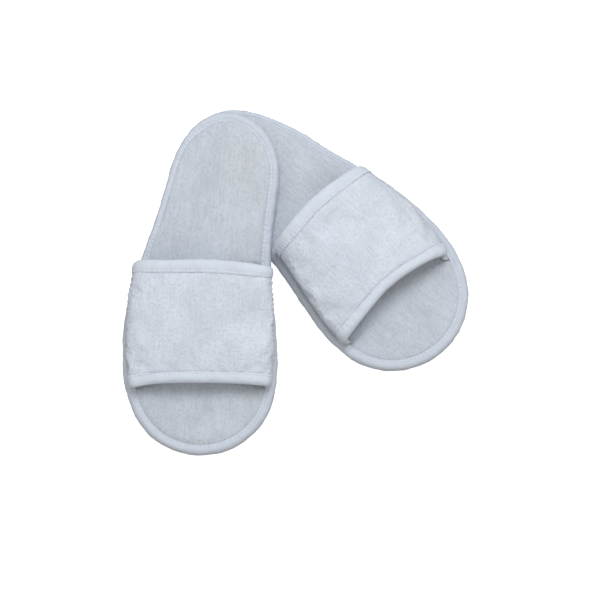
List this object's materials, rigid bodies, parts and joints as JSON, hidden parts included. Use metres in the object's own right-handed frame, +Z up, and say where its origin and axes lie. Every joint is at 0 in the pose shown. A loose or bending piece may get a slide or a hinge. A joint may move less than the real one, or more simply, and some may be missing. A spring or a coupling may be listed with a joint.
{
  "type": "spa slippers",
  "caption": "Pair of open-toe terry spa slippers laid in a V, one heel resting on the other; each has a flat padded sole and one broad padded strap over the foot.",
  "frame": {"origin": "centre of the pair's footprint, on the floor", "axes": "+Z up; the V of the two slippers opens towards -Y, so both toes point to -Y and the two heels meet at +Y; the right slipper is on the -X side and the left one on the +X side"},
  "size_m": [0.29, 0.2636, 0.049],
  "materials": {
    "terry": "white cotton terry, looped pile",
    "tape": "white woven polyester binding tape, matt",
    "lining": "white brushed nonwoven lining, matt",
    "foam": "soft polyurethane foam, matt",
    "board": "pressed fibre insole board, matt",
    "outsole": "white EVA foam sheet with an anti-slip face, matt",
    "thread": "white polyester sewing thread, slightly shiny"
  },
  "bodies": {
    "left_slipper": {"left_footbed_cover": "terry", "left_footbed_foam": "foam", "left_insole_board": "board", "left_instep_band": "tape", "left_instep_bobbin_thread": "thread", "left_instep_needle_thread": "thread", "left_outsole": "outsole", "left_sole_binding": "tape", "left_sole_bobbin_thread": "thread", "left_sole_needle_thread": "thread", "left_toe_band": "tape", "left_toe_bobbin_thread": "thread", "left_toe_needle_thread": "thread", "left_upper_lining": "lining", "left_upper_padding": "foam", "left_upper_shell": "terry"},
    "right_slipper": {"right_footbed_cover": "terry", "right_footbed_foam": "foam", "right_insole_board": "board", "right_instep_band": "tape", "right_instep_bobbin_thread": "thread", "right_instep_needle_thread": "thread", "right_outsole": "outsole", "right_sole_binding": "tape", "right_sole_bobbin_thread": "thread", "right_sole_needle_thread": "thread", "right_toe_band": "tape", "right_toe_bobbin_thread": "thread", "right_toe_needle_thread": "thread", "right_upper_lining": "lining", "right_upper_padding": "foam", "right_upper_shell": "terry"}
  },
  "joints": [
    {"name": "right_slipper_lift", "type": "slide", "parent": "left_slipper", "child": "right_slipper", "axis": [0, 0, 1], "range_m": [0, 0.08]}
  ]
}
